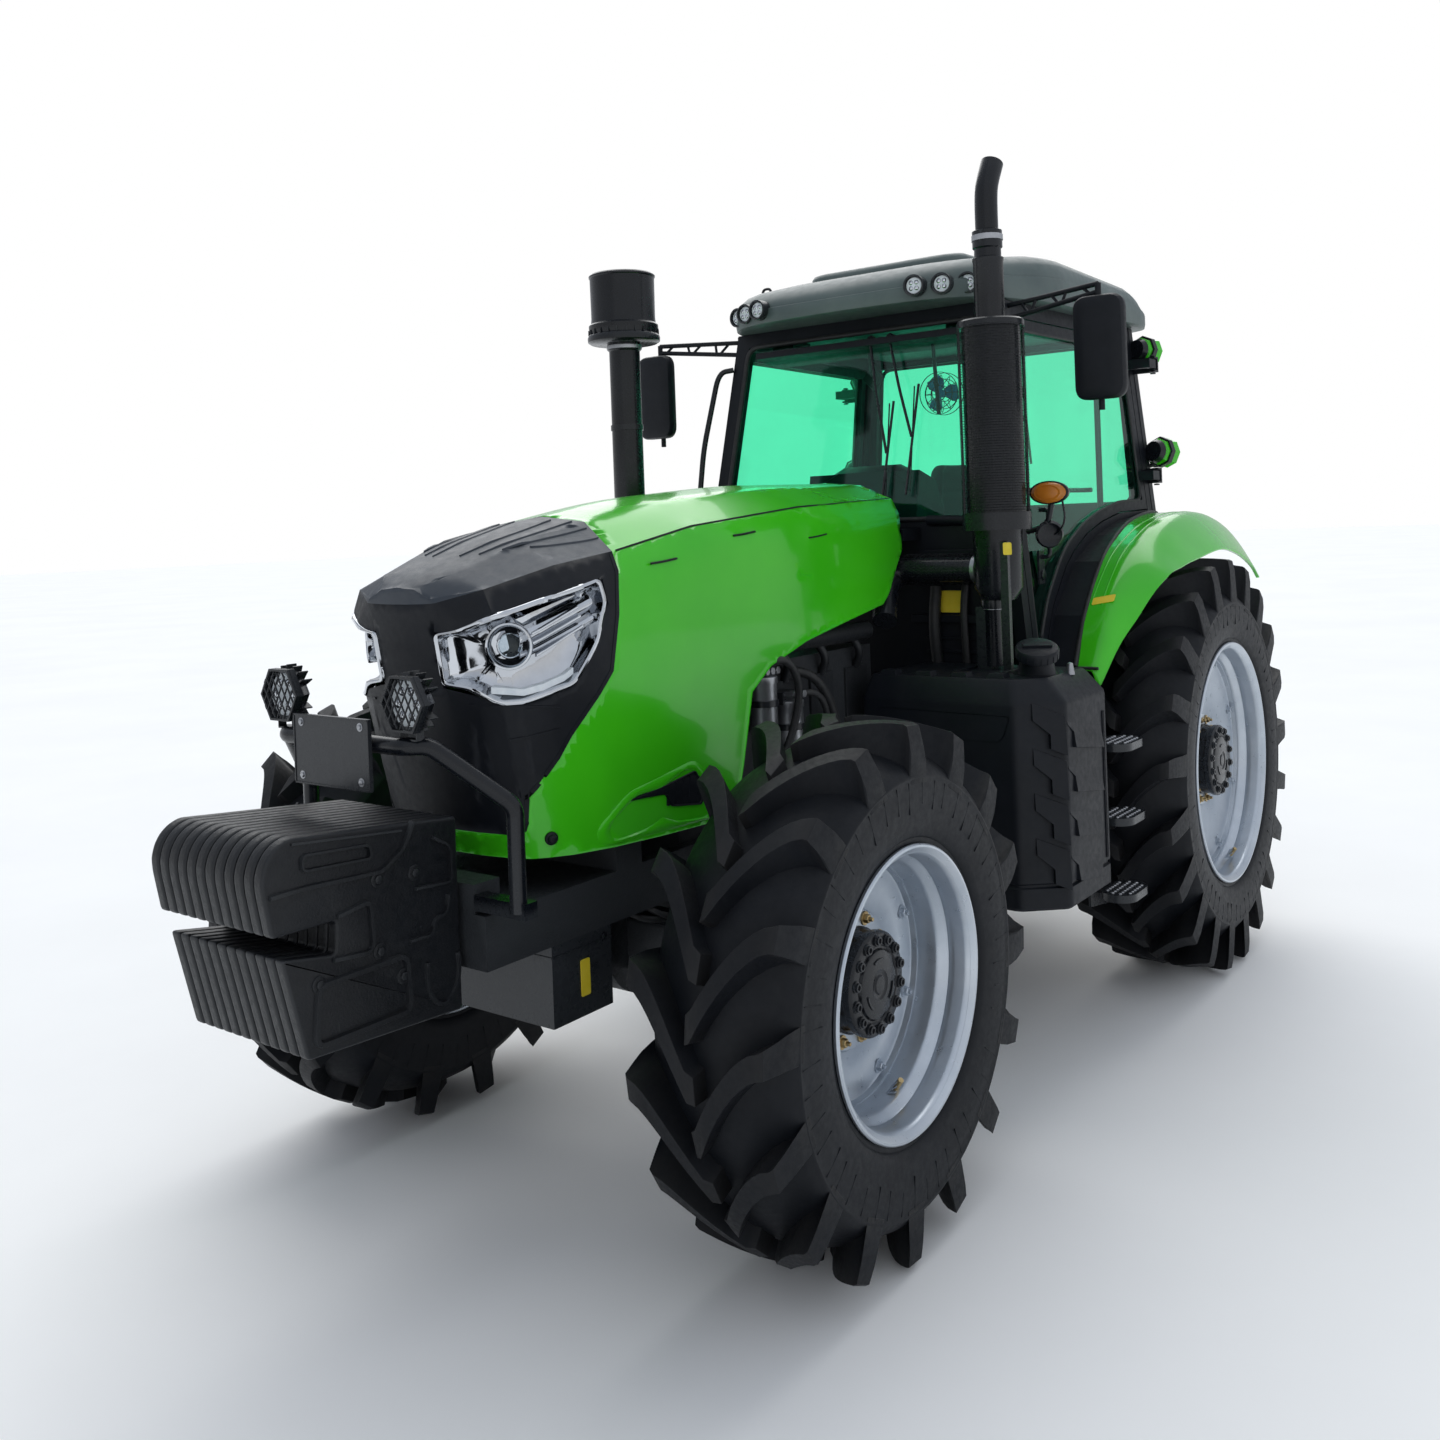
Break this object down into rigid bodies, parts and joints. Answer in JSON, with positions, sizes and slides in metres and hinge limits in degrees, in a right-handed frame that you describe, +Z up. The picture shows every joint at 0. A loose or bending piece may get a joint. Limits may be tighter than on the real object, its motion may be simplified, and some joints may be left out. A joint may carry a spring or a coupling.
{
  "type": "farm tractor",
  "caption": "Four-wheel-drive farm tractor with closed cab, steered front axle, lifting hood, hinged doors, suitcase front weights, side fuel tank and a rear three-point hitch",
  "frame": {"origin": "middle of the whole tractor's plan, on the ground", "axes": "+X forward, +Y to the tractor's left, +Z up"},
  "size_m": [5.4749, 2.299, 3.2609],
  "materials": {
    "green_paint": "gloss",
    "black_plastic": "satin",
    "black_paint": "satin",
    "cast_black": "rough painted",
    "silver_paint": "satin",
    "tyre_rubber": "matte",
    "roof_grey": "satin",
    "cap_grey": "satin",
    "chrome_lamp": "polished",
    "lamp_glass": "polished",
    "tinted_glass": "polished",
    "seat_fabric": "matte",
    "steel": "worn"
  },
  "bodies": {
    "chassis": {"front_support": "cast_black", "engine_block": "cast_black", "driveline_housing": "cast_black", "front_axle_beam": "cast_black", "front_weights": "cast_black", "front_guard": "black_paint", "work_lamps": "black_plastic", "front_box": "black_paint", "cab_floor": "black_paint", "cab_tub": "black_paint", "cab_frame": "black_paint", "cab_glass": "tinted_glass", "cab_roof": "roof_grey", "rear_fenders": "green_paint", "dashboard": "black_plastic", "steering_wheel": "black_plastic", "seat": "seat_fabric", "fuel_tank": "black_plastic", "side_box": "black_plastic", "steps": "black_paint", "mirrors": "black_plastic", "exhaust_stack": "black_paint", "air_intake": "black_plastic"},
    "hood": {"hood_top": "green_paint", "hood_sides": "green_paint", "nose_cap": "cap_grey", "nose_fascia": "black_plastic", "headlights": "chrome_lamp"},
    "knuckle_left": {"knuckle_left": "cast_black"},
    "knuckle_right": {"knuckle_right": "cast_black"},
    "wheel_front_left": {"tyre_front_left": "tyre_rubber", "rim_front_left": "silver_paint"},
    "wheel_front_right": {"tyre_front_right": "tyre_rubber", "rim_front_right": "silver_paint"},
    "wheel_rear_left": {"tyre_rear_left": "tyre_rubber", "rim_rear_left": "silver_paint"},
    "wheel_rear_right": {"tyre_rear_right": "tyre_rubber", "rim_rear_right": "silver_paint"},
    "door_left": {"door_left": "black_paint", "door_glass_left": "tinted_glass"},
    "door_right": {"door_right": "black_paint", "door_glass_right": "tinted_glass"},
    "lower_links": {"lower_links": "steel"},
    "lift_arms": {"lift_arms": "cast_black"},
    "lift_rods": {"lift_rods": "steel"}
  },
  "joints": [
    {"name": "steer_left", "type": "hinge", "parent": "chassis", "child": "knuckle_left", "pos_m": [1.3725, 0.65, 0.7175], "axis": [0, 0, 1], "range_deg": [-25, 25]},
    {"name": "steer_right", "type": "hinge", "parent": "chassis", "child": "knuckle_right", "pos_m": [1.3725, -0.65, 0.7175], "axis": [0, 0, 1], "range_deg": [-25, 25]},
    {"name": "roll_front_left", "type": "hinge", "parent": "knuckle_left", "child": "wheel_front_left", "pos_m": [1.3725, 0.876, 0.7175], "axis": [0, 1, 0], "continuous": true},
    {"name": "roll_front_right", "type": "hinge", "parent": "knuckle_right", "child": "wheel_front_right", "pos_m": [1.3725, -0.876, 0.7175], "axis": [0, 1, 0], "continuous": true},
    {"name": "roll_rear_left", "type": "hinge", "parent": "chassis", "child": "wheel_rear_left", "pos_m": [-1.3875, 0.916, 0.8775], "axis": [0, 1, 0], "continuous": true},
    {"name": "roll_rear_right", "type": "hinge", "parent": "chassis", "child": "wheel_rear_right", "pos_m": [-1.3875, -0.916, 0.8775], "axis": [0, 1, 0], "continuous": true},
    {"name": "hood_lift", "type": "hinge", "parent": "chassis", "child": "hood", "pos_m": [0.0085, 0, 2.066], "axis": [0, -1, 0], "range_deg": [0, 45]},
    {"name": "door_left_swing", "type": "hinge", "parent": "chassis", "child": "door_left", "pos_m": [-1.5175, 0.805, 2.12], "axis": [0, 0, 1], "range_deg": [0, 75]},
    {"name": "door_right_swing", "type": "hinge", "parent": "chassis", "child": "door_right", "pos_m": [-1.5175, -0.805, 2.12], "axis": [0, 0, -1], "range_deg": [0, 75]},
    {"name": "link_lift", "type": "hinge", "parent": "chassis", "child": "lower_links", "pos_m": [-1.6175, 0, 0.52], "axis": [0, 1, 0], "range_deg": [-10, 20]},
    {"name": "arm_lift", "type": "hinge", "parent": "chassis", "child": "lift_arms", "pos_m": [-1.8075, 0, 1.01], "axis": [0, 1, 0], "range_deg": [-15, 30]},
    {"name": "rod_swing", "type": "hinge", "parent": "lift_arms", "child": "lift_rods", "pos_m": [-2.2375, 0, 1.01], "axis": [0, 1, 0], "range_deg": [-30, 15]}
  ],
  "couplings": [
    {"joint": "steer_right", "follows": "steer_left", "ratio": 1},
    {"joint": "arm_lift", "follows": "link_lift", "ratio": 1.4186},
    {"joint": "rod_swing", "follows": "link_lift", "ratio": -1.4186}
  ]
}
